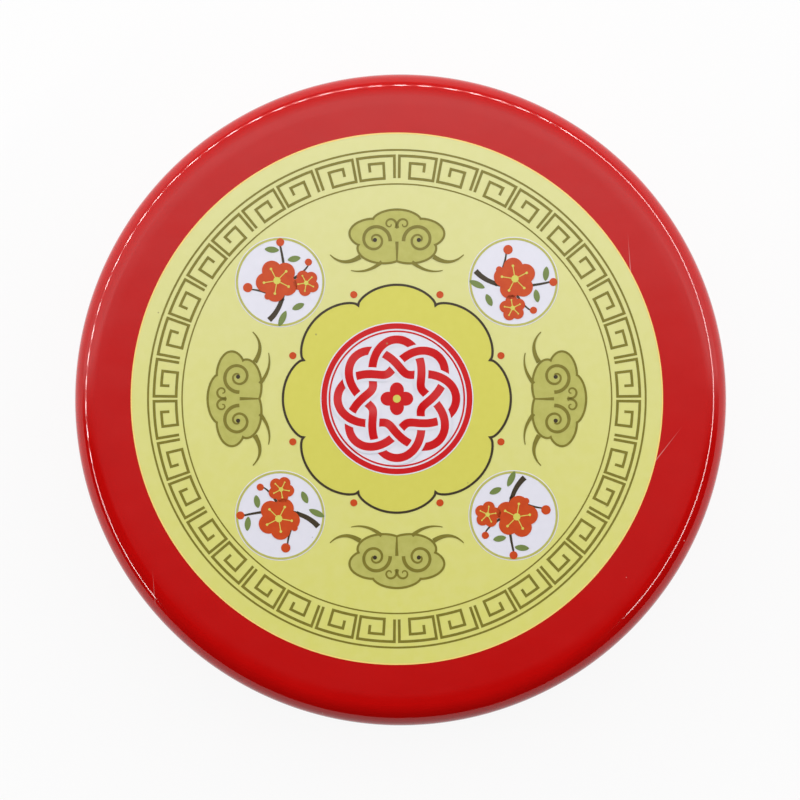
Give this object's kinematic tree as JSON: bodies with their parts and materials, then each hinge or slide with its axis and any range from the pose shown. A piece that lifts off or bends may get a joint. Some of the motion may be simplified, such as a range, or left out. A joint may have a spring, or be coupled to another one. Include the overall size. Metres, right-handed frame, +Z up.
{
  "type": "seal paste box",
  "caption": "Round slip-lid tin of red seal paste: a silk-covered pad in a plastic dish, under a lift-off lid with a printed face.",
  "frame": {"origin": "centre of the ring that the tin stands on, level with the table", "axes": "+Z up through the lid, +Y towards the top of the printed face, +X towards its right"},
  "size_m": [0.1, 0.1, 0.022],
  "materials": {
    "red_lacquer": "gloss",
    "printed_ink": "gloss",
    "white_plastic": "satin",
    "red_silk": "satin",
    "seal_paste": "satin",
    "oiled_sponge": "matte",
    "clear_film": "gloss"
  },
  "bodies": {
    "base": {"base_shell": "red_lacquer", "inner_dish": "white_plastic", "clamp_ring": "white_plastic", "pad_cloth": "red_silk", "paste_layer": "seal_paste", "pad_core": "oiled_sponge"},
    "lid": {"lid_shell": "red_lacquer"},
    "film": {"cover_film": "clear_film"}
  },
  "joints": [
    {"name": "lid_lift", "type": "slide", "parent": "base", "child": "lid", "axis": [0, 0, 1], "range_m": [0, 0.06]},
    {"name": "film_lift", "type": "slide", "parent": "base", "child": "film", "axis": [0, 0, 1], "range_m": [0, 0.03]}
  ],
  "couplings": [
    {"joint": "film_lift", "follows": "lid_lift", "ratio": 0.5}
  ]
}
